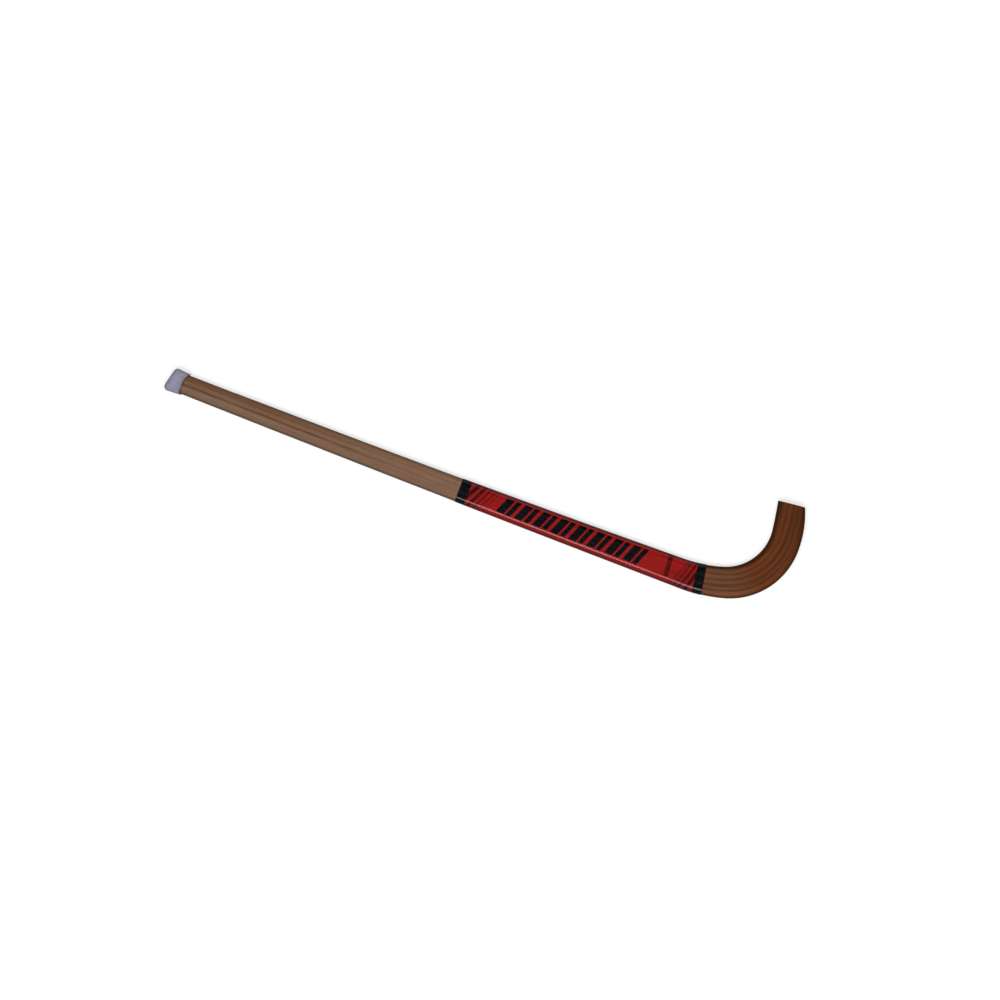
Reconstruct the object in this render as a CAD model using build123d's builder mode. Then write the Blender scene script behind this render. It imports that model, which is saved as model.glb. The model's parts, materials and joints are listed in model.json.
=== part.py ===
from build123d import *
import os
from math import cos, radians, sin

# A rink hockey stick of laminated wood. Six plies are bent together round the crook, glued, and
# planed to one tapering outline, so that the outer plies run out along the edges of the shaft.
# A printed film sleeve is shrunk on to the lower shaft, and a plastic cap is pushed over the butt.
#
# It is drawn with X down the shaft from the middle of the butt, Y towards the side that the toe
# curls to, and Z square to the flat sides. The finished pieces are moved so that the stick lies
# on the plane z = 0 with its origin in the middle of the ground that it covers.
#
# Lengths are in millimetres and angles in degrees.

# The planed wood
thickness = 18.0  # between the flat sides
edge_round = 8.0  # along the four long edges
toe_round = 1.2  # round the sawn end of the toe

# Each long edge of the outline: its start at the butt, its heading there, its straight run, and
# its bends as (radius, turn): the bow of the shaft, the start of the bend, the crook and the toe.
# A bow is long and very slight, so it is drawn as several equal arcs.
bow_arcs = 8
concave_bow = [(27800.0, 1.29 / bow_arcs)] * bow_arcs
concave_bends = concave_bow + [(208.0, 17.2), (71.0, 79.7), (838.0, 3.02)]
concave_edge = (Vector(0, 16.6), -0.08, 176.5, concave_bends)
convex_bow = [(67900.0, 0.67 / bow_arcs)] * bow_arcs
convex_bends = convex_bow + [(235.0, 16.3), (108.6, 73.4), (166.0, 23.5)]
convex_edge = (Vector(0, -13.6), -0.81, 20.5, convex_bends)

# The lamination
ply_thickness = 8.2
glue_thickness = 0.3
ply_count = 6
plies_inside = 4  # plies on the concave side of the main glue line
past_surface = 12.0  # how far the blank stood proud of the outline before it was planed
past_butt = 15.0  # how far it ran past the butt; it also ran past the toe
facing_start = 735.0  # ply_1 is a facing for the crook, let into ply_2 from here, under the sleeve

# The main glue line, drawn as the long edges are. It is straight until the bend starts.
main_glue_bends = [(248.6, 18.3), (98.7, 74.5), (281.6, 15.7)]
main_glue_line = (Vector(-past_butt, 0.6), -0.4, 795.6 + past_butt, main_glue_bends)

# The film sleeve
film = 0.6
sleeve_start = 452.5
sleeve_end = Vector(842.0, 3.0)
sleeve_end_heading = 9.5  # the shaft has begun to bend where the sleeve ends

# The end cap. It flares towards its closed end, which is moulded off square.
cap_wall = 1.8
cap_round = 4.5
cap_end_top = (-6.7, 20.5)
cap_end_bottom = (-15.8, -16.6)
cap_top_corner = 4.5
cap_bottom_corner = 9.0

# Its mouth is cut back to cap_mouth on the flat sides, between two lips along the edges.
cap_mouth = 10.2
cap_mouth_low = -9.0
cap_mouth_high = 3.0
cap_top_lip = 17.0
cap_bottom_lip = 14.4


def offset_path(path, offset):
    """The path moved to its left by offset, as a curve parallel to the first."""
    start, heading, straight, bends = path
    left = Vector(-sin(radians(heading)), cos(radians(heading)))
    return start + left * offset, heading, straight, [(radius - offset, turn) for radius, turn in bends]


def trace(path):
    """Draw a path in the current line, each bend tangent to what it follows, and return its ends."""
    start, heading, straight, bends = path
    run = PolarLine(start, straight, heading)
    last = run
    for radius, turn in bends:
        last = JernArc(start=last @ 1, tangent=last % 1, radius=radius, arc_size=turn)
    return run @ 0, last @ 1


def strip(left_path, right_path, height):
    """A flat-sided solid between two paths, standing evenly either side of the drawing plane."""
    with BuildPart() as solid:
        with BuildSketch():
            with BuildLine():
                left_start, left_end = trace(left_path)
                right_start, right_end = trace(right_path)
                Line(left_start, right_start)
                Line(left_end, right_end)
            make_face()
        extrude(amount=height / 2, both=True)
    return solid


def planed_body(growth):
    """The whole stick as one rounded body, with its surface moved out by growth."""
    body = strip(offset_path(concave_edge, growth), offset_path(convex_edge, -growth), thickness + 2 * growth)
    with body:
        butt = body.faces().sort_by(Axis.X)[0]
        toe = body.faces().sort_by(Axis.Y)[-1]
        flat_sides = body.faces().filter_by(Axis.Z)
        fillet(flat_sides.edges() - butt.edges() - toe.edges(), edge_round + growth)
        fillet(body.faces().sort_by(Axis.Y)[-1].edges(), toe_round)
    return body


def laminate(low, high):
    """The layer of the planed stick from low to high, measured from the main glue line."""
    layer = strip(offset_path(main_glue_line, high), offset_path(main_glue_line, low), 2 * thickness)
    with layer:
        add(stick.part, mode=Mode.INTERSECT)
    return layer


def make_plies():
    """The plies, numbered from the concave side of the crook to the convex side."""
    plies = {}
    for number in range(1, ply_count + 1):
        high = (plies_inside - number + 1) * ply_thickness - glue_thickness / 2
        low = (plies_inside - number) * ply_thickness + glue_thickness / 2
        if number <= 2:
            high += past_surface
        if number == ply_count:
            low -= past_surface
        plies[f"ply_{number}"] = laminate(low, high)
    return plies


def make_glue_lines():
    """The glue between each ply and the next."""
    glue_lines = {}
    for number in range(1, ply_count):
        middle = (plies_inside - number) * ply_thickness
        glue_lines[f"glue_line_{number}"] = laminate(middle - glue_thickness / 2, middle + glue_thickness / 2)
    return glue_lines


def let_in_facing(facing, glue, backing):
    """Start the facing and its glue at facing_start, in a recess in the ply behind them."""
    for layer in (facing, glue):
        with layer:
            split(bisect_by=Plane(origin=(facing_start, 0, 0), z_dir=(1, 0, 0)), keep=Keep.TOP)
        with backing:
            add(layer.part, mode=Mode.SUBTRACT)


def make_sleeve():
    """The film round the lower shaft, cut square to the shaft at both ends."""
    sleeve = planed_body(film)
    with sleeve:
        split(bisect_by=Plane(origin=(sleeve_start, 0, 0), z_dir=(1, 0, 0)), keep=Keep.TOP)
        along = (cos(radians(sleeve_end_heading)), sin(radians(sleeve_end_heading)), 0)
        split(bisect_by=Plane(origin=sleeve_end, z_dir=along), keep=Keep.BOTTOM)
        add(stick.part, mode=Mode.SUBTRACT)
    return sleeve


def make_cap():
    """The cap over the butt: open at its scalloped mouth, with a slightly flared closed end."""
    top_lip = (cap_top_lip, concave_edge[0].Y + cap_wall)
    bottom_lip = (cap_bottom_lip, convex_edge[0].Y - cap_wall)
    with BuildPart() as cap:
        with BuildSketch():
            with BuildLine():
                Line((cap_mouth, cap_mouth_low), (cap_mouth, cap_mouth_high))
                TangentArc((cap_mouth, cap_mouth_high), top_lip, tangent=(0, 1))
                TangentArc((cap_mouth, cap_mouth_low), bottom_lip, tangent=(0, -1))
                Polyline(top_lip, cap_end_top, cap_end_bottom, bottom_lip)
            make_face()
            fillet(vertices().sort_by(Axis.X)[0], cap_bottom_corner)
            fillet(vertices().sort_by(Axis.Y)[-1], cap_top_corner)
        extrude(amount=thickness / 2 + cap_wall, both=True)
        flat_sides = cap.faces().filter_by(Axis.Z)
        mouth = cap.faces().filter_by(lambda face: face.center().X > 0 and face.normal_at().X > 0.4)
        fillet(flat_sides.edges() - mouth.edges(), cap_round)
        add(stick.part, mode=Mode.SUBTRACT)
    return cap


stick = planed_body(0)
pieces = make_plies() | make_glue_lines()
let_in_facing(pieces["ply_1"], pieces["glue_line_1"], pieces["ply_2"])
pieces["printed_sleeve"] = make_sleeve()
pieces["end_cap"] = make_cap()

box = Compound([piece.part for piece in pieces.values()]).bounding_box()
to_origin = Location((-box.center().X, -box.center().Y, -box.min.Z))

os.makedirs("parts", exist_ok=True)
for name, piece in pieces.items():
    part = piece.part.moved(to_origin)
    part.label = name
    export_step(part, f"parts/{name}.step")
    print(f"{name}: {len(part.solids())} solid, {part.volume:.0f} mm3")
print("size:", box.size, "butt centre at", to_origin.position)
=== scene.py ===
"""The looks of a rink hockey stick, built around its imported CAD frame.

The stick's lines are drawn again here as the CAD draws them, in millimetres: x runs down the shaft
from the middle of the butt, y towards the side that the toe curls to, z square to the flat sides.
Points are turned into metres of the row frame only when a mesh is made. Along the bent stick the
places are given by two distances from the main glue line: along it, and off it towards the toe's
side. Every mesh carries those distances as attributes, so that the grain, the glue stains and the
print follow the bend.
"""

import json
from math import cos, pi, radians, sin

import bmesh
import bpy
import numpy as np
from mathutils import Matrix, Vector


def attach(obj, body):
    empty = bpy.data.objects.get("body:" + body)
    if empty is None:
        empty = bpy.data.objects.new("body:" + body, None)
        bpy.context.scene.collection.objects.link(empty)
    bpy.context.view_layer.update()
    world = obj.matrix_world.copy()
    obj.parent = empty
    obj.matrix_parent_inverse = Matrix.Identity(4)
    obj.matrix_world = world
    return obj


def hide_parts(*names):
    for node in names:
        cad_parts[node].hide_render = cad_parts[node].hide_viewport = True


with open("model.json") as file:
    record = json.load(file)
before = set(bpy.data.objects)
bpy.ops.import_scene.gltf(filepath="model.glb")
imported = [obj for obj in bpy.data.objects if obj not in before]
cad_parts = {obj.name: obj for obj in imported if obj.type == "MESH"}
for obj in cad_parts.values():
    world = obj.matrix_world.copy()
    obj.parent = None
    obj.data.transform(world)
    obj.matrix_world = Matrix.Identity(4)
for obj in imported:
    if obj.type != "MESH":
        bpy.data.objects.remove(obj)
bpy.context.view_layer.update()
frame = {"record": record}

MM = 0.001
grip = next(mount for mount in frame["record"]["mounts"] if mount["name"] == "grip")
butt = np.array(grip["pos_m"]) - MM * np.array([200.0, 1.0, 0.0])

# ------------------------------------------------------------------ the stick's lines, in mm

NEARLY_STRAIGHT = 1e8  # a straight run is drawn as an arc of this radius


class Path:
    """A straight run and the arcs that follow it, each tangent to the last and turning left."""

    def __init__(self, start, heading, straight, bends):
        self.spans = []
        point, angle, reached = np.array(start), radians(heading), 0.0
        runs = [(NEARLY_STRAIGHT, straight)] + [(radius, radius * radians(turn)) for radius, turn in bends]
        for radius, length in runs:
            centre = point + radius * np.array([-sin(angle), cos(angle)])
            self.spans.append((point, angle, reached, radius, centre))
            angle += length / radius
            point = centre + radius * np.array([sin(angle), -cos(angle)])
            reached += length
        self.length = reached
        self.end = point

    def place(self, along, off):
        """The x and y of points given by their distance along the path and off it to the left."""
        along, off = np.broadcast_arrays(along, off)
        x, y = np.zeros(along.shape), np.zeros(along.shape)
        for _, angle, reached, radius, centre in self.spans:
            here = (along >= reached) | (reached == 0)
            turned = angle + (along - reached) / radius
            x = np.where(here, centre[0] + (radius - off) * np.sin(turned), x)
            y = np.where(here, centre[1] - (radius - off) * np.cos(turned), y)
        return x, y

    def straighten(self, x, y):
        """The distances along the path and off it of points given by their x and y."""
        along, off = np.zeros(np.shape(x)), np.zeros(np.shape(x))
        passed = np.ones(np.shape(x), bool)
        for point, angle, reached, radius, centre in self.spans:
            if reached > 0:
                passed = passed & ((x - point[0]) * cos(angle) + (y - point[1]) * sin(angle) >= 0)
            turned = np.arctan2(x - centre[0], centre[1] - y)
            along = np.where(passed, reached + radius * (turned - angle), along)
            off = np.where(passed, radius - np.hypot(x - centre[0], y - centre[1]), off)
        return along, off


butt_top = 16.6
butt_bottom = -13.6
past_butt = 15.0  # the main glue line starts this far outside the butt
main_line = Path((-past_butt, 0.6), -0.4, 795.6 + past_butt, [(248.6, 18.3), (98.7, 74.5), (281.6, 15.7)])
concave_bends = [(27800.0, 1.29), (208.0, 17.2), (71.0, 79.7), (838.0, 3.02)]
concave_edge = Path((0, butt_top), -0.08, 176.5, concave_bends)
convex_bends = [(67900.0, 0.67), (235.0, 16.3), (108.6, 73.4), (166.0, 23.5)]
convex_edge = Path((0, butt_bottom), -0.81, 20.5, convex_bends)

half_thickness = 9.0
edge_round = 8.0
toe_round = 1.2

ply_thickness = 8.2
ply_count = 6
plies_inside = 4
half_glue = 0.15
facing_start = 735.0 + past_butt  # ply_1 is let into ply_2 from here
beyond = 99.0  # further off the main glue line than any edge of the stick

film = 0.6
sleeve_start = 452.5
sleeve_end = np.array([842.0, 3.0])
sleeve_end_heading = radians(9.5)
clear = 0.02  # between the wood and what is fitted over it


def edge_offsets(edge):
    """How far an edge lies off the main glue line, at distances along that line."""
    return main_line.straighten(*edge.place(np.arange(0, edge.length, 0.5), 0.0))


concave_offsets = edge_offsets(concave_edge)
convex_offsets = edge_offsets(convex_edge)


def concave_off(along):
    return np.interp(along, *concave_offsets)


def convex_off(along):
    return np.interp(along, *convex_offsets)


def cut(upper, lower):
    """A straight cut across the stick through two points: where along the line it is, for any offset."""
    (far_along, near_along), (far_off, near_off) = main_line.straighten(*np.transpose([upper, lower]))
    slope = (far_along - near_along) / (far_off - near_off)
    return lambda off: near_along + slope * (off - near_off)


across = 20.0 * np.array([-sin(sleeve_end_heading), cos(sleeve_end_heading)])
butt_cut = cut((0.0, butt_top), (0.0, butt_bottom))
toe_cut = cut(concave_edge.end, convex_edge.end)
sleeve_start_cut = cut((sleeve_start, 20.0), (sleeve_start, -20.0))
sleeve_end_cut = cut(sleeve_end + across, sleeve_end - across)

# ------------------------------------------------------------------ meshes


def spaced(start, end, step):
    """Distances from start to end, evenly spaced by about step."""
    return np.linspace(start, end, max(2, 1 + round((end - start) / step)))


def surface_height(off, bottom, top, growth, inset=0.0):
    """How high the rounded flat side stands at an offset between the two long edges."""
    rounding = edge_round + growth - inset
    height = half_thickness + growth - inset
    to_edge = np.clip(np.minimum(off - bottom, top - off), 0.0, rounding)
    return height - rounding + np.sqrt(rounding**2 - (rounding - to_edge) ** 2)


def ring(low, high, bottom, top, growth=0.0, inset=0.0, face_points=24, side_points=5):
    """A section of the stick from one offset to another, as a loop of (offset, height) points.

    It runs along the upper face, down the high side, back along the lower face and up the low side.
    """
    sweep = (1 - np.cos(np.linspace(0, pi, 300))) / 2
    fine = low + (high - low) * sweep
    fine_height = surface_height(fine, bottom, top, growth, inset)
    length = np.concatenate([[0], np.cumsum(np.hypot(np.diff(fine), np.diff(fine_height)))])
    off = np.interp(np.linspace(0, length[-1], face_points), length, fine)
    height = surface_height(off, bottom, top, growth, inset)
    down = np.linspace(1, -1, side_points + 2)[1:-1]
    loop_off = np.concatenate([off, np.full(side_points, high), off[::-1], np.full(side_points, low)])
    loop_height = np.concatenate([height, down * height[-1], -height[::-1], -down * height[0]])
    return loop_off, loop_height


def girth_share(off, height, bottom, top, growth):
    """How far round the section a point is: 0 at the middle of the convex edge, 1 at the concave."""
    rounding = edge_round + growth
    flat_edge = half_thickness + growth - rounding
    quarter = flat_edge + rounding * pi / 2
    height = np.abs(height)

    def round_corner(to_edge):
        turned = np.arctan2(height - flat_edge, rounding - np.minimum(to_edge, rounding))
        return np.where(height < flat_edge, height, flat_edge + rounding * np.maximum(turned, 0))

    total = top - bottom - 2 * rounding + 2 * quarter
    to_low, to_high = off - bottom, top - off
    on_flat = quarter + to_low - rounding
    walked = np.where(to_low < rounding, round_corner(to_low), on_flat)
    return np.where(to_high < rounding, total - round_corner(to_high), walked) / total


def fade(distance, reach=40.0):
    """1 at a cut, falling smoothly to 0 at reach from it."""
    return np.clip(1 - distance / reach, 0, 1) ** 2


def skewed(along, off, start_cut, end_cut):
    """Stations along the stick, leant near both ends so that the end sections lie in the cuts."""
    leant = along + (start_cut(off) - start_cut(0.0)) * fade(along - start_cut(0.0))
    return leant + (end_cut(off) - end_cut(0.0)) * fade(end_cut(0.0) - along)


def in_frame(along, off, height):
    """Points in the row frame, in metres."""
    x, y = main_line.place(along, off)
    return butt + MM * np.stack([x, y, height], axis=-1)


def loft(name, points, attributes, looped=False):
    """A closed mesh through rings of points, with its attributes.

    The last ring joins the first if looped, and otherwise a face closes each end.
    """
    rings, count = points.shape[:2]
    number = np.arange(rings * count).reshape(rings, count)
    following = np.roll(number, -1, axis=0) if looped else number[1:]
    current = number if looped else number[:-1]
    quads = np.stack([current, np.roll(current, -1, 1), np.roll(following, -1, 1), following], axis=-1)
    faces = quads.reshape(-1, 4).tolist()
    if not looped:
        faces += [number[0][::-1].tolist(), number[-1].tolist()]
    mesh = bpy.data.meshes.new(name)
    mesh.from_pydata(points.reshape(-1, 3).tolist(), [], faces)
    for key, values in attributes.items():
        kind = "FLOAT_VECTOR" if values.ndim == 3 else "FLOAT"
        layer = mesh.attributes.new(key, kind, "POINT")
        field = "vector" if values.ndim == 3 else "value"
        layer.data.foreach_set(field, values.astype(np.float32).ravel())
    edited = bmesh.new()
    edited.from_mesh(mesh)
    bmesh.ops.recalc_face_normals(edited, faces=edited.faces)
    edited.to_mesh(mesh)
    edited.free()
    mesh.polygons.foreach_set("use_smooth", [True] * len(mesh.polygons))
    mesh.set_sharp_from_angle(angle=radians(32))
    piece = bpy.data.objects.new(name, mesh)
    bpy.context.scene.collection.objects.link(piece)
    return piece


def finished(piece, node, material):
    """Give a piece its material and let it stand for its CAD node."""
    piece.data.materials.append(material)
    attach(piece, "root")
    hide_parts(node)
    return piece


# ------------------------------------------------------------------ shader graphs


class Graph:
    """The node tree of a material, built by calls that take and return sockets or plain values."""

    def __init__(self, name):
        self.material = bpy.data.materials.new(name)
        self.material.use_nodes = True
        self.tree = self.material.node_tree
        self.tree.nodes.clear()

    def node(self, kind, inputs, output=0, **settings):
        made = self.tree.nodes.new("ShaderNode" + kind)
        for key, value in settings.items():
            setattr(made, key, value)
        for key, value in inputs.items():
            if isinstance(value, bpy.types.NodeSocket):
                self.tree.links.new(value, made.inputs[key])
            else:
                made.inputs[key].default_value = value
        return made.outputs[output] if made.outputs else None

    def attribute(self, name, output="Vector"):
        return self.node("Attribute", {}, output, attribute_name=name)

    def separate(self, vector):
        node = self.node("SeparateXYZ", {0: vector}).node
        return node.outputs[0], node.outputs[1], node.outputs[2]

    def math(self, operation, a, b=0.0, c=0.0):
        return self.node("Math", {0: a, 1: b, 2: c}, operation=operation)

    def add(self, a, b):
        return self.math("ADD", a, b)

    def subtract(self, a, b):
        return self.math("SUBTRACT", a, b)

    def multiply(self, a, b):
        return self.math("MULTIPLY", a, b)

    def smooth(self, value, low, high, start=0.0, end=1.0):
        """From start to end as value goes from low to high, smoothly."""
        keys = {"Value": value, "From Min": low, "From Max": high, "To Min": start, "To Max": end}
        return self.node("MapRange", keys, interpolation_type="SMOOTHSTEP")

    def scaled(self, vector, scale, shift=(0.0, 0.0, 0.0)):
        return self.node("VectorMath", {0: vector, 1: scale, 2: shift}, operation="MULTIPLY_ADD")

    def noise(self, vector, detail=2.0, roughness=0.5):
        keys = {"Vector": vector, "Scale": 1.0, "Detail": detail, "Roughness": roughness}
        return self.node("TexNoise", keys)

    def blend(self, factor, a, b):
        """Colour a turning into colour b as factor goes from 0 to 1."""
        return self.node("Mix", {0: factor, 6: a, 7: b}, 2, data_type="RGBA")

    def tinted(self, colour, tint, factor=1.0):
        """The colour multiplied by a tint, more or less of it as factor goes from 0 to 1."""
        keys = {0: factor, 6: colour, 7: tint}
        return self.node("Mix", keys, 2, data_type="RGBA", blend_type="MULTIPLY")

    def brightened(self, colour, value):
        return self.node("VectorMath", {0: colour, "Scale": value}, operation="SCALE")

    def bump(self, height, distance, strength=1.0):
        return self.node("Bump", {"Height": height, "Distance": distance, "Strength": strength})

    def surface(self, **inputs):
        keys = {key.replace("_", " "): value for key, value in inputs.items()}
        shader = self.node("BsdfPrincipled", keys)
        self.node("OutputMaterial", {"Surface": shader})
        return self.material


def rgb(red, green, blue):
    return (red, green, blue, 1.0)


def shade(colour, factor):
    return tuple(factor * part for part in colour[:3]) + (1.0,)


# ------------------------------------------------------------------ wood

# The wood's colour by ply, in the hand's part of the shaft, and how bright each ply is in the crook.
# The plies towards the convex edge are lighter and greyer, partly wood tone and partly a painted sheen of
# the light from that side.
butt_tones_and_sheen = {3: rgb(0.138, 0.069, 0.039), 4: rgb(0.160, 0.084, 0.050), 5: rgb(0.182, 0.106, 0.072)}
butt_tones_and_sheen[6] = rgb(0.160, 0.100, 0.068)
crook_shares = {1: 0.80, 2: 1.06, 3: 1.12, 4: 1.0, 5: 0.92, 6: 1.04}
crook_start_highlight = 1.14  # how much brighter the outermost ply is where the crook starts: a painted highlight along its convex edge

# How far the growth rings of each ply lean from square to the flat sides, in degrees.
ring_leans = {1: 35, 2: -20, 3: 62, 4: 12, 5: -48, 6: 28}
ring_width = 3.1

# The colour of all plies further along: under the sleeve, from the crook's start, and to the toe.
sleeve_tone = rgb(0.172, 0.098, 0.064)
# The crook's start is greyer, partly wood tone and partly a painted sheen of the light.
crook_start_tone_and_sheen = rgb(0.124, 0.048, 0.021)
crook_tone = rgb(0.109, 0.0280, 0.0042)
toe_tone = rgb(0.085, 0.0220, 0.0035)

# Tints, which multiply the colour of the wood.
ruddy = rgb(1.05, 0.93, 0.88)
golden = rgb(0.97, 1.06, 0.98)
stained = rgb(0.60, 0.47, 0.36)
# Painted shade on the rounded edges: strong on the shaft's convex side, hardly any on its concave side,
# and most in the crook.
shaft_convex_edge_shade = rgb(0.66, 0.68, 0.70)
shaft_concave_edge_shade = rgb(0.96, 1.00, 1.00)
crook_edge_shade = rgb(0.48, 0.43, 0.38)
cap_shadow = rgb(0.72, 0.66, 0.74)
pore_tint = rgb(0.42, 0.36, 0.33)

end_grain_light = rgb(0.066, 0.027, 0.011)
end_grain_dark = rgb(0.030, 0.012, 0.005)
fresh_glue = rgb(0.100, 0.048, 0.027)
dark_glue = rgb(0.045, 0.016, 0.006)
wood_specular = 0.06

# For each glue line, how dark the wood beside it is: at the butt, at mid shaft and in the crook.
glue_stains = [(0.0, 0.0, 0.8), (0.2, 0.1, 0.8), (0.45, 0.25, 1.0), (1.0, 0.15, 0.7), (0.1, 0.1, 0.9)]


def line_off(number):
    """The offset of the middle of a glue line; glue_line_1 is the one nearest the concave edge."""
    return (plies_inside - number) * ply_thickness


def crook_share(graph, along):
    """0 on the shaft and 1 in the crook, with the change hidden under the sleeve."""
    return graph.smooth(along, 700.0, 850.0)


def stain_strength(graph, along, in_crook, line):
    """How dark a glue line has made the wood beside it."""
    at_butt, at_middle, at_crook = glue_stains[line - 1]
    on_shaft = graph.smooth(along, 240.0, 400.0, at_butt, at_middle)
    return graph.math("MAXIMUM", on_shaft, graph.multiply(in_crook, at_crook))


def edge_shade_share(graph, height):
    """How much painted shade a place gets: 0 on the flat sides, 1 on the rounded edges, less on the narrow
    sides.
    """
    height = graph.math("ABSOLUTE", height)
    off_the_flat = graph.smooth(height, half_thickness - 0.3, 6.5)
    return graph.multiply(off_the_flat, graph.smooth(height, 1.0, 4.5, 0.35, 1.0))


def edge_shaded(graph, colour, off, height, in_crook):
    """The wood's colour with painted shade along the rounded edges, most of all in the crook."""
    shaft_edge_shade = graph.blend(graph.smooth(off, -4.0, 6.0), shaft_convex_edge_shade, shaft_concave_edge_shade)
    return graph.tinted(colour, graph.blend(in_crook, shaft_edge_shade, crook_edge_shade), edge_shade_share(graph, height))


def ply_tone(graph, along, in_crook, number):
    """The mean colour of a ply, from the hand's part of the shaft to the toe."""
    # Near the butt the convex-side plies carry partly a painted sheen.
    shaft = graph.blend(graph.smooth(along, 60.0, 380.0), butt_tones_and_sheen.get(number, sleeve_tone), sleeve_tone)
    # The crook's greyer start is partly a painted sheen.
    crook = graph.blend(graph.smooth(along, 890.0, 950.0), crook_start_tone_and_sheen, crook_tone)
    crook = graph.blend(graph.smooth(along, 970.0, 1060.0), crook, toe_tone)
    crook = graph.brightened(crook, crook_shares[number])
    # A painted highlight on the outermost ply, along the convex edge where the crook starts.
    if number == ply_count:
        crook = graph.brightened(crook, graph.smooth(along, 880.0, 950.0, crook_start_highlight, 1.0))
    return graph.blend(in_crook, shaft, crook)


def growth_rings(graph, grain, own, number):
    """How far a place is into the dark late wood of its ring, from 0 to 1."""
    _, off, height = graph.separate(grain)
    wander = graph.noise(graph.scaled(grain, (0.005, 0.04, 0.04), own))
    lean = radians(ring_leans[number])
    leaning = graph.add(graph.multiply(off, cos(lean)), graph.multiply(height, sin(lean)))
    place = graph.math("MULTIPLY_ADD", wander, 20.0, leaning)
    phase = graph.math("FRACT", graph.multiply(place, 1 / ring_width))
    return graph.multiply(graph.smooth(phase, 0.35, 0.9), graph.smooth(phase, 1.0, 0.93))


def glue_stained(graph, colour, along, off, in_crook, clouds, number):
    """The wood's colour, darkened unevenly beside the glue lines on both sides of a ply."""
    unevenness = graph.smooth(clouds, 0.34, 0.62, 0.35, 1.1)
    for line in (number - 1, number):
        if 1 <= line < ply_count:
            distance = graph.math("ABSOLUTE", graph.subtract(off, line_off(line)))
            strength = stain_strength(graph, along, in_crook, line)
            stain = graph.multiply(graph.smooth(distance, 3.2, 0.2), strength)
            colour = graph.tinted(colour, stained, graph.multiply(stain, unevenness))
    return colour


def wood(number):
    """Oiled wood of one ply: growth rings, fibres, pores, and dark stains beside the glue."""
    graph = Graph(f"wood_ply_{number}")
    grain = graph.attribute("grain")
    along, off, height = graph.separate(grain)
    in_crook = crook_share(graph, along)
    own = (31.0 * number, 17.0 * number, 5.0 * number)  # where in the noise this ply lies

    late_wood = growth_rings(graph, grain, own, number)
    streaks = graph.noise(graph.scaled(grain, (0.011, 0.27, 0.27), own), 3.0, 0.6)
    patches = graph.noise(graph.scaled(grain, (0.022, 0.13, 0.13), own), 2.0, 0.6)
    fibres = graph.noise(graph.scaled(grain, (0.018, 1.7, 1.7), own), 4.0, 0.65)
    clouds = graph.noise(graph.scaled(grain, (0.016, 0.05, 0.05), own))
    pores = graph.noise(graph.scaled(grain, (0.11, 4.6, 4.6), own), 1.0)
    pores = graph.multiply(graph.smooth(pores, 0.62, 0.70), graph.smooth(late_wood, 0.8, 0.1))

    figure = graph.add(graph.smooth(streaks, 0.30, 0.70, 0.17, -0.17), graph.multiply(late_wood, -0.16))
    figure = graph.multiply(figure, graph.smooth(along, 740.0, 880.0, 0.40, 1.0))
    brightness = graph.multiply(graph.smooth(fibres, 0.30, 0.72, 1.16, 0.84), graph.add(figure, 1.04))
    colour = graph.brightened(ply_tone(graph, along, in_crook, number), brightness)
    colour = graph.tinted(colour, graph.blend(graph.smooth(patches, 0.36, 0.64), ruddy, golden))
    colour = glue_stained(graph, colour, along, off, in_crook, clouds, number)
    colour = graph.tinted(colour, pore_tint, graph.multiply(pores, 0.6))
    colour = graph.tinted(colour, cap_shadow, graph.smooth(along, past_butt + 15.0, past_butt + 10.5))
    # Painted shade along the rounded edges.
    colour = edge_shaded(graph, colour, off, height, in_crook)
    rings_and_pores = graph.smooth(graph.add(late_wood, pores), 0.1, 0.9)
    end_grain = graph.blend(rings_and_pores, end_grain_light, end_grain_dark)
    colour = graph.blend(graph.attribute("end", "Fac"), colour, end_grain)

    texture = graph.add(graph.multiply(fibres, 0.35), graph.multiply(pores, -1.0))
    rougher_shaft = graph.smooth(in_crook, 0.0, 1.0, 0.10, -0.05)
    return graph.surface(
        Base_Color=colour,
        Roughness=graph.add(graph.smooth(fibres, 0.3, 0.8, 0.36, 0.44), rougher_shaft),
        Normal=graph.bump(texture, 0.00006, 0.6),
        Specular_IOR_Level=wood_specular,
    )


def glue(number):
    """The cured glue of one line, dark where it has stained the wood."""
    graph = Graph(f"glue_line_{number}")
    grain = graph.attribute("grain")
    along, off, height = graph.separate(grain)
    in_crook = crook_share(graph, along)
    mottle = graph.noise(graph.scaled(grain, (0.12, 1.0, 0.8)), 3.0)
    strength = stain_strength(graph, along, in_crook, number)
    darkness = graph.add(strength, graph.smooth(mottle, 0.3, 0.7, -0.15, 0.15))
    colour = graph.blend(darkness, fresh_glue, dark_glue)
    # Painted shade along the rounded edges.
    colour = edge_shaded(graph, colour, off, height, in_crook)
    colour = graph.blend(graph.attribute("end", "Fac"), colour, end_grain_dark)
    return graph.surface(
        Base_Color=colour,
        Roughness=graph.smooth(mottle, 0.3, 0.7, 0.34, 0.44),
        Normal=graph.bump(mottle, 0.00004, 0.5),
        Specular_IOR_Level=wood_specular,
    )


def layer_stations(start):
    """Stations and insets from a layer's start to the toe, closer together round the crook.

    The last few stations round the toe's end over by toe_round.
    """
    toe = float(toe_cut(0.0))
    shaft = spaced(start, 800.0, 4.0) if start < 790.0 else np.array([start])
    crook = spaced(max(start, 800.0), toe - toe_round, 1.6)[1:]
    turn = np.linspace(0, pi / 2, 5)[1:]
    rounded = toe - toe_round * (1 - np.sin(turn))
    along = np.concatenate([shaft, crook, rounded])
    inset = np.concatenate([np.zeros(len(shaft) + len(crook)), toe_round * (1 - np.cos(turn))])
    return along, inset


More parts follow.
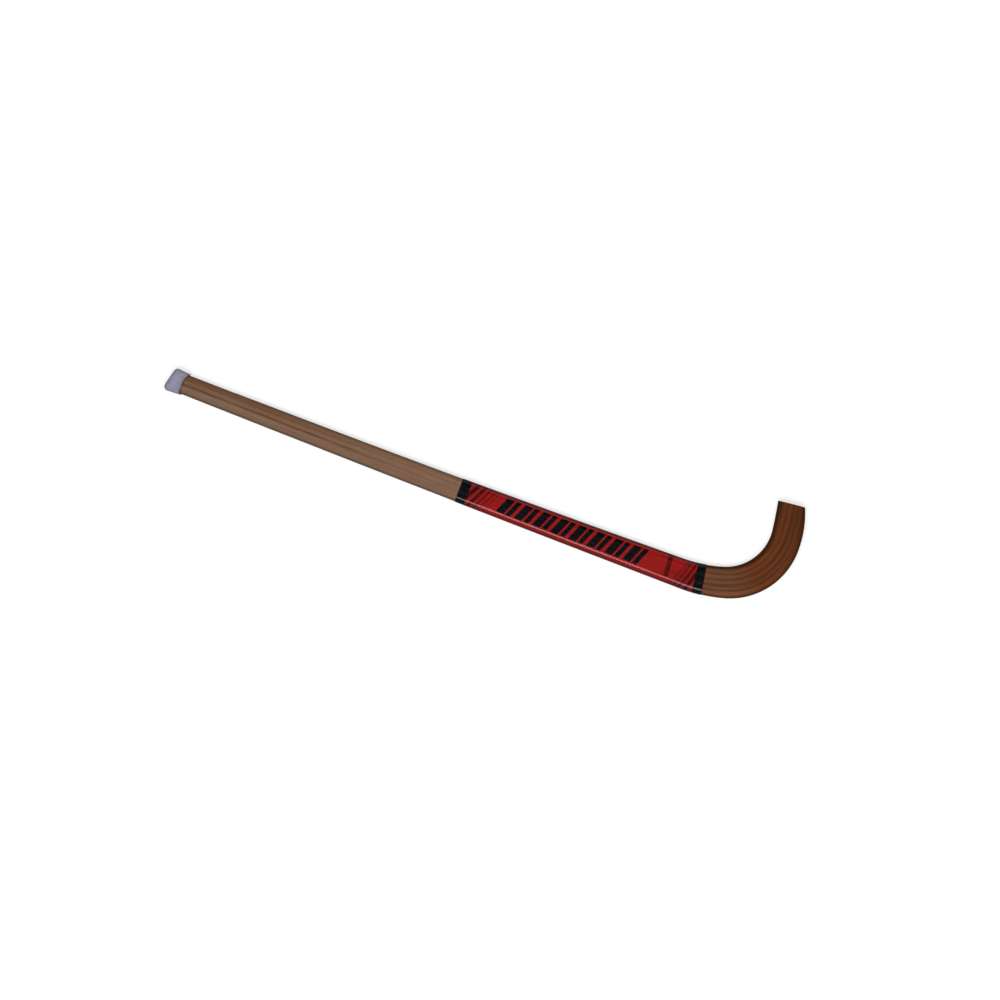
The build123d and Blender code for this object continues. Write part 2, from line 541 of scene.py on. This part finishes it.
def layer(name, low, high, start, start_cut, **ring_counts):
    """One layer of the planed stick, between two offsets given as functions of the place along it."""
    along, inset = layer_stations(start)
    bottom = convex_off(along) + inset
    top = concave_off(along) - inset
    low = np.maximum(low(along), bottom)
    high = np.minimum(high(along), top)
    stations = zip(low, high, bottom, top, inset)
    rings = [ring(*edges, inset=step_in, **ring_counts) for *edges, step_in in stations]
    off = np.array([loop[0] for loop in rings])
    height = np.array([loop[1] for loop in rings])
    leant = skewed(along[:, None], off, start_cut, toe_cut)
    grain = np.stack([leant, off, height], axis=-1)
    at_end = np.broadcast_to((inset / toe_round)[:, None], off.shape)
    return loft(name, in_frame(leant, off, height), {"grain": grain, "end": at_end})


def run_out(off):
    """Where along the line the concave edge gets far enough out for a layer that starts at off."""
    along, edge = concave_offsets
    return float(along[np.argmax(edge > off + 0.2)])


def steady(value):
    """A function that gives the same value everywhere."""
    return lambda places: value + 0.0 * places


def layer_start(number, off):
    """Where a ply or glue line starts, and the cut it starts at.

    The facing and its glue start in the recess, and ply_2 and its glue where the edge lets them.
    """
    if number > 2:
        return float(butt_cut(0.0)), butt_cut
    start = facing_start if number == 1 else run_out(off)
    return start, steady(start)


def ply_sides(number):
    """The offsets of a ply's two sides. The outer plies reach past the edges, to be planed."""
    low = steady(-beyond if number == ply_count else line_off(number) + half_glue)
    inner = line_off(number - 1) - half_glue
    if number == 1:
        return low, steady(beyond)
    if number == 2:
        return low, lambda along: np.where(along > facing_start, inner, beyond)
    return low, steady(inner)


def make_layers():
    """The six plies and the five glue lines between them."""
    for number in range(1, ply_count + 1):
        start, start_cut = layer_start(number, line_off(number) + half_glue)
        piece = layer(f"ply_{number}_wood", *ply_sides(number), start, start_cut)
        finished(piece, f"ply_{number}", wood(number))
    for number in range(1, ply_count):
        middle = line_off(number)
        start, start_cut = layer_start(number, middle)
        sides = steady(middle - half_glue), steady(middle + half_glue)
        counts = {"face_points": 3, "side_points": 7}
        piece = layer(f"glue_line_{number}_seam", *sides, start, start_cut, **counts)
        finished(piece, f"glue_line_{number}", glue(number))


make_layers()

# ------------------------------------------------------------------ the printed sleeve

print_red = rgb(0.236, 0.0054, 0.0048)
print_deep_red = rgb(0.034, 0.0010, 0.0012)
print_black = rgb(0.0012, 0.0014, 0.0028)
# Painted shade on the film's rounded edges.
film_edge_shade = rgb(0.34, 0.40, 0.80)

band_width = 15.0
right_band_width = 14.0
half_girth = 50.0  # from the middle of one long edge round to the middle of the other

# Leaning strokes after the first band and before the last, as (place, width, lean, darkness).
early_strokes = [
    (460.3, 7.0, 0.56, 1.0),
    (473.5, 5.4, 0.48, 0.94),
    (482.7, 4.4, 0.48, 0.62),
    (490.4, 3.6, 0.52, 0.48),
    (498.4, 3.0, 0.46, 0.34),
]
late_strokes = [
    (819.6, 5.2, 0.44, 1.0),
    (810.3, 4.8, 0.50, 0.80),
    (803.5, 4.2, 0.44, 0.60),
    (796.7, 3.4, 0.52, 0.46),
]
stroke_middle = 0.30  # how far round the film, from the convex edge, a stroke's place is measured

# Slanted blocks, each a wide bar and a narrow one. Heights are shares of the way round the film.
block_start, block_pitch, block_count = 514.3, 28.8, 8
block_low, block_high = 0.30, 0.785
block_lean = 0.43
block_bars = ((0.3, 12.8), (15.8, 23.5))

# One column of short ticks.
tick_middle, tick_width, tick_lean = 784.7, 7.2, -0.11
tick_low, tick_high, tick_count = 0.29, 0.88, 7


def film_print(graph, along, girth, to_end):
    """The colour of the film: black end bands, leaning strokes, bars and ticks on red."""

    def between(value, low, high, soft):
        rise = graph.smooth(value, low - soft, low + soft)
        return graph.multiply(rise, graph.smooth(value, high + soft, high - soft))

    def leant(place, lean, middle):
        """The place that a leaning mark starts from, where its own place is at the middle."""
        return graph.math("MULTIPLY_ADD", graph.subtract(girth, middle), -lean * half_girth, place)

    def either(parts):
        total = parts[0]
        for part in parts[1:]:
            total = graph.math("MAXIMUM", total, part)
        return total

    def strokes(marks):
        rows = between(girth, 0.08, 0.93, 0.01)
        bars = []
        for place, width, lean, darkness in marks:
            bar = between(leant(along, lean, stroke_middle), place, place + width, 0.25)
            bars.append(graph.multiply(bar, darkness))
        return graph.multiply(either(bars), rows)

    in_run = leant(graph.subtract(along, block_start), block_lean, block_low)
    within = graph.math("MODULO", graph.add(in_run, block_pitch), block_pitch)
    bars = either([between(within, start, end, 0.22) for start, end in block_bars])
    run = between(in_run, -0.2, block_pitch * block_count - 3.0, 0.1)
    blocks = graph.multiply(graph.multiply(bars, run), between(girth, block_low, block_high, 0.005))

    tick_rows = graph.multiply(graph.subtract(girth, tick_low), tick_count / (tick_high - tick_low))
    tick_row = graph.math("FRACT", tick_rows)
    tick_place = leant(along, tick_lean, (tick_low + tick_high) / 2)
    ticks = between(tick_place, tick_middle - tick_width / 2, tick_middle + tick_width / 2, 0.25)
    ticks = graph.multiply(ticks, between(girth, tick_low, tick_high, 0.004))
    ticks = graph.multiply(ticks, graph.smooth(between(tick_row, 0.08, 0.80, 0.08), 0.0, 1.0, 0.55, 0.92))

    first_band_end = sleeve_start + band_width
    first_band = graph.smooth(along, first_band_end + 0.2, first_band_end - 0.2)
    last_band = graph.smooth(to_end, right_band_width + 0.2, right_band_width - 0.2)
    bands = either([first_band, last_band])

    uneven = graph.noise(graph.scaled(graph.attribute("grain"), (0.01, 0.05, 0.05)), 2.0)
    colour = graph.blend(graph.smooth(uneven, 0.3, 0.7), shade(print_red, 1.08), shade(print_red, 0.90))
    deep = either([strokes(early_strokes), strokes(late_strokes), ticks])
    return graph.blend(either([blocks, bands]), graph.blend(deep, colour, print_deep_red), print_black)


def film_material():
    """Glossy shrunk film, with faint ripples, a slight orange peel and painted shade on its rounded edges.
    """
    graph = Graph("printed_film")
    along, girth, to_end = graph.separate(graph.attribute("print"))
    grain = graph.attribute("grain")
    ripples = graph.noise(graph.scaled(grain, (0.02, 0.09, 0.09)), 2.0)
    peel = graph.noise(graph.scaled(grain, (0.5, 0.9, 0.9)), 2.0)
    height = graph.add(ripples, graph.multiply(peel, 0.05))
    _, _, side = graph.separate(grain)
    colour = film_print(graph, along, girth, to_end)
    return graph.surface(
        # Painted shade on the rounded edges.
        Base_Color=graph.tinted(colour, film_edge_shade, edge_shade_share(graph, side)),
        Roughness=graph.smooth(peel, 0.3, 0.7, 0.10, 0.16),
        Normal=graph.bump(height, 0.0004, 0.5),
        Specular_IOR_Level=0.21,
    )


def make_sleeve():
    """The film as a thin tube: out along its outside, over its end, and back along the wood."""
    start, end = float(sleeve_start_cut(0.0)), float(sleeve_end_cut(0.0))
    soft = 0.25  # the rounding of the film's cut edges
    turn = np.linspace(0, pi / 2, 4)
    first_edge = start + soft * (1 - np.sin(turn[::-1]))
    last_edge = end - soft * (1 - np.sin(turn))
    over = np.concatenate([first_edge, spaced(start + soft, end - soft, 1.2)[1:-1], last_edge])
    lifted = film - soft * (1 - np.cos(turn))
    growth = np.concatenate([lifted[::-1], np.full(len(over) - 2 * len(turn), film), lifted])
    back = spaced(start, end, 4.0)[::-1]
    along = np.concatenate([over, back])
    growth = np.concatenate([growth, np.full(len(back), clear)])
    bottom = convex_off(along) - growth
    top = concave_off(along) + growth
    off, height, girth = [], [], []
    for station in range(len(along)):
        edges = bottom[station], top[station]
        loop_off, loop_height = ring(*edges, *edges, growth[station], face_points=44, side_points=3)
        off.append(loop_off)
        height.append(loop_height)
        girth.append(girth_share(loop_off, loop_height, *edges, growth[station]))
    off, height, girth = np.array(off), np.array(height), np.array(girth)
    leant = skewed(along[:, None], off, sleeve_start_cut, sleeve_end_cut)
    print_place = np.stack([leant - past_butt, girth, sleeve_end_cut(off) - leant], axis=-1)
    grain = np.stack([leant, off, height], axis=-1)
    attributes = {"grain": grain, "print": print_place}
    return loft("printed_film", in_frame(leant, off, height), attributes, looped=True)


finished(make_sleeve(), "printed_sleeve", film_material())

# ------------------------------------------------------------------ the end cap

cap_wall = 1.8
cap_end_top = (-6.7, 20.5)
cap_end_bottom = (-15.8, -16.6)
cap_top_lip = (17.0, butt_top + cap_wall)
cap_bottom_lip = (14.4, butt_bottom - cap_wall)
cap_mouth = 10.2  # the mouth is cut back to here on the flat sides
cap_mouth_low = -9.0
cap_mouth_high = 3.0
cap_top_round = 4.5
cap_bottom_round = 9.0
cap_round = 4.5  # along the edges of the flat sides
cap_body_top = cap_end_top[1] - 0.4  # the body's sides, where its closed end starts to round
cap_body_bottom = cap_end_bottom[1] + 0.3
lip_round = 0.5
lip_start = 0.97  # the share of the body where the lip's rounding starts


def along_line(start, end, share):
    return start + (end - start) * share


def end_x(y):
    """The closed end's plane, which is moulded off square."""
    return np.interp(y, [cap_end_bottom[1], cap_end_top[1]], [cap_end_bottom[0], cap_end_top[0]])


def end_rounding(y):
    """How far back from its plane the closed end starts to round."""
    share = (y - cap_end_bottom[1]) / (cap_end_top[1] - cap_end_bottom[1])
    return along_line(cap_bottom_round, cap_top_round, share)


def mouth_x(y):
    """The mouth: straight in the middle, and curving out to a lip at each narrow side."""

    def scallop(rise, tip):
        depth, reach = tip[0] - cap_mouth, abs(rise)
        radius = (depth**2 + reach**2) / (2 * depth)
        from_middle = np.clip(np.abs(y - tip[1] + rise), 0, reach)
        return radius - np.sqrt(radius**2 - from_middle**2)

    upper = scallop(cap_top_lip[1] - cap_mouth_high, cap_top_lip)
    lower = scallop(cap_bottom_lip[1] - cap_mouth_low, cap_bottom_lip)
    return cap_mouth + np.where(y > cap_mouth_high, upper, 0) + np.where(y < cap_mouth_low, lower, 0)


def rounded_loop(top, bottom, half_height, rounding, corner_points=14, wide_points=26, narrow_points=6):
    """A rounded rectangle as a loop of (y, z) points, with points along its sides too."""
    centre, half_width = (top + bottom) / 2, (top - bottom) / 2
    points = []
    for quarter, (side_y, side_z) in enumerate(((1, 1), (-1, 1), (-1, -1), (1, -1))):
        angle = np.linspace(0, pi / 2, corner_points) + quarter * pi / 2
        y = side_y * (half_width - rounding) + rounding * np.cos(angle)
        z = side_z * (half_height - rounding) + rounding * np.sin(angle)
        points.append(np.stack([centre + y, z], axis=-1))
    loop = []
    for quarter, corner in enumerate(points):
        following = points[(quarter + 1) % 4][0]
        count = wide_points if quarter % 2 == 0 else narrow_points
        share = np.linspace(0, 1, count + 2)[1:-1, None]
        loop += [corner, along_line(corner[-1], following, share)]
    return np.concatenate(loop)


def end_ring(turn, within=1.0, dome=0.0):
    """A ring of the closed end: turn goes from a quarter turn on its face to 0 on the body."""
    top = cap_body_top - cap_top_round * (1 - cos(turn))
    bottom = cap_body_bottom + cap_bottom_round * (1 - cos(turn))
    half_height = half_thickness + cap_wall - cap_round * (1 - cos(turn))
    middle = np.array([(top + bottom) / 2, 0.0])
    loop = rounded_loop(top, bottom, half_height, min(cap_round, 0.7 * half_height))
    loop = along_line(middle, loop, within)
    x = end_x(loop[:, 0]) + end_rounding(loop[:, 0]) * (1 - sin(turn)) - dome
    return np.column_stack([x, loop])


def body_ring(share, inset=0.0):
    """A ring of the cap's body: share 0 is where its closed end starts to round, 1 its mouth."""
    top = along_line(cap_body_top, cap_top_lip[1], share) - inset
    bottom = along_line(cap_body_bottom, cap_bottom_lip[1], share) + inset
    loop = rounded_loop(top, bottom, half_thickness + cap_wall - inset, cap_round)
    start = end_x(loop[:, 0]) + end_rounding(loop[:, 0])
    x = along_line(start, mouth_x(loop[:, 0]), share)
    return np.column_stack([x, loop])


def socket_ring(share):
    """A ring of the socket that the wood fills: share 1 is at the mouth and 0 at the butt."""
    loop = rounded_loop(butt_top + clear, butt_bottom - clear, half_thickness + clear, edge_round)
    return np.column_stack([mouth_x(loop[:, 0]) * share, loop])


def make_cap():
    """The moulded cap: its closed end, its flared body, the lip of its mouth, and the wood's socket."""
    rings = [end_ring(pi / 2, within, 0.25 * (1 - within)) for within in (0.08, 0.3, 0.55, 0.8)]
    rings += [end_ring(turn) for turn in np.linspace(pi / 2, 0, 17)]
    rings += [body_ring(share) for share in np.linspace(0, lip_start, 12)[1:]]
    for turn in np.linspace(0, pi / 2, 4)[1:]:
        share = along_line(lip_start, 1.0, sin(turn))
        rings.append(body_ring(share, lip_round * (1 - cos(turn))))
    rings += [socket_ring(share) for share in (1.0, 0.75, 0.5, 0.25, 0.0)]
    rings = np.array(rings)
    to_mouth = mouth_x(rings[..., 1]) - rings[..., 0]
    return loft("end_cap_moulding", butt + MM * rings, {"grain": rings, "to_mouth": to_mouth})


cap_plain = rgb(0.214, 0.219, 0.308)
cap_cloudy = rgb(0.182, 0.180, 0.234)
cap_mouth_tint = rgb(0.80, 0.70, 0.62)
# Painted shade towards the cap's rounded edges and narrow sides.
cap_side_shade = rgb(0.62, 0.64, 0.66)


def cap_material():
    """Soft off-white plastic with a fine moulded texture, a mould line, a thinner mouth tinted darker and
    warmer, and painted shade towards the narrow sides.
    """
    graph = Graph("cap_plastic")
    place = graph.attribute("grain")
    height = graph.math("ABSOLUTE", graph.separate(place)[2])
    texture = graph.noise(graph.scaled(place, (2.6, 2.6, 2.6)), 3.0)
    cloud = graph.noise(graph.scaled(place, (0.12, 0.12, 0.12)), 3.0)
    colour = graph.blend(graph.smooth(cloud, 0.30, 0.75), cap_plain, cap_cloudy)
    # Darker and warmer towards the mouth.
    near_mouth = graph.smooth(graph.attribute("to_mouth", "Fac"), 6.0, 0.5)
    colour = graph.tinted(colour, cap_mouth_tint, near_mouth)
    # Painted shade towards the narrow sides.
    colour = graph.tinted(colour, cap_side_shade, graph.smooth(height, 10.6, 5.0))
    mould_line = graph.smooth(height, 0.35, 0.10)
    return graph.surface(
        Base_Color=colour,
        Roughness=graph.smooth(texture, 0.3, 0.7, 0.42, 0.55),
        Normal=graph.bump(graph.add(texture, mould_line), 0.00008, 0.5),
        Specular_IOR_Level=0.3,
    )


finished(make_cap(), "end_cap", cap_material())

# ------------------------------------------------------------------ floor, light and camera

floor_reach = 30.0
picture_centre = (515.2, 7.3)
picture_width = 1494.0
picture_turn = radians(20.79)  # the shaft runs down to the right by this much
lens = 120.0
sensor = 36.0


def make_floor():
    """A pale floor, lit from below like a light table, which fades to white far from the stick."""
    mesh = bpy.data.meshes.new("floor")
    corners = [(floor_reach * x, floor_reach * y, 0.0) for x, y in ((-1, -1), (1, -1), (1, 1), (-1, 1))]
    mesh.from_pydata(corners, [], [(0, 1, 2, 3)])
    floor = bpy.data.objects.new("floor", mesh)
    bpy.context.scene.collection.objects.link(floor)
    graph = Graph("floor")
    place = graph.node("NewGeometry", {}, "Position")
    distance = graph.node("VectorMath", {0: place}, "Value", operation="LENGTH")
    seen = graph.node("LightPath", {}, "Is Camera Ray")
    glow = graph.smooth(distance, 0.4, 3.0, 0.70, 0.95)
    glow = graph.multiply(glow, graph.smooth(seen, 0.0, 1.0, 0.22, 1.0))
    mesh.materials.append(
        graph.surface(
            Base_Color=rgb(0.30, 0.30, 0.30),
            Roughness=0.9,
            Specular_IOR_Level=0.1,
            Emission_Color=rgb(1.0, 1.0, 1.0),
            Emission_Strength=glow,
        )
    )


def make_softbox(name, tilt, distance, width, depth, radiance):
    """A soft rectangular light aimed at the stick, tilted from overhead towards the convex side."""
    light = bpy.data.lights.new(name, "AREA")
    light.shape = "RECTANGLE"
    light.size = width
    light.size_y = depth
    light.energy = radiance * pi * width * depth
    lamp = bpy.data.objects.new(name, light)
    centre = Vector((0.04, -0.03, 0.0))
    away = Vector((0.0, -sin(radians(tilt)), cos(radians(tilt))))
    lamp.location = centre + away * distance
    lamp.rotation_euler = (radians(tilt), 0.0, 0.0)
    lamp.visible_camera = False
    bpy.context.scene.collection.objects.link(lamp)


def make_world():
    """A dim studio: dark overhead, a little lighter towards the horizon, white to the camera."""
    world = bpy.data.worlds.new("studio")
    world.use_nodes = True
    bpy.context.scene.world = world
    tree = world.node_tree
    tree.nodes.clear()
    place = tree.nodes.new("ShaderNodeTexCoord")
    split = tree.nodes.new("ShaderNodeSeparateXYZ")
    ramp = tree.nodes.new("ShaderNodeMapRange")
    ramp.inputs["From Min"].default_value = 0.98
    ramp.inputs["From Max"].default_value = 0.80
    ramp.inputs["To Min"].default_value = 0.016
    ramp.inputs["To Max"].default_value = 0.34
    rays = tree.nodes.new("ShaderNodeLightPath")
    seen = tree.nodes.new("ShaderNodeMix")
    seen.inputs["B"].default_value = 1.0
    background = tree.nodes.new("ShaderNodeBackground")
    background.inputs["Color"].default_value = (1.0, 1.0, 1.0, 1.0)
    output = tree.nodes.new("ShaderNodeOutputWorld")
    tree.links.new(place.outputs["Generated"], split.inputs[0])
    tree.links.new(split.outputs["Z"], ramp.inputs["Value"])
    tree.links.new(rays.outputs["Is Camera Ray"], seen.inputs["Factor"])
    tree.links.new(ramp.outputs["Result"], seen.inputs["A"])
    tree.links.new(seen.outputs["Result"], background.inputs["Strength"])
    tree.links.new(background.outputs[0], output.inputs["Surface"])


def make_camera():
    """Straight above the flat side, with the shaft running down to the right."""
    camera = bpy.data.cameras.new("camera")
    camera.lens = lens
    camera.sensor_width = sensor
    camera.clip_end = 100.0
    seen = bpy.data.objects.new("camera", camera)
    x, y = butt[:2] + MM * np.array(picture_centre)
    height = MM * picture_width * lens / sensor
    seen.location = (x, y, butt[2] + height)
    seen.rotation_euler = (0.0, 0.0, picture_turn)
    bpy.context.scene.collection.objects.link(seen)
    bpy.context.scene.camera = seen


make_camera()
make_floor()
make_softbox("key", tilt=17.0, distance=5.0, width=4.0, depth=2.0, radiance=9.5)
make_softbox("side", tilt=-66.0, distance=4.0, width=4.0, depth=1.4, radiance=1.0)
make_world()
bpy.context.scene.view_settings.view_transform = "Standard"
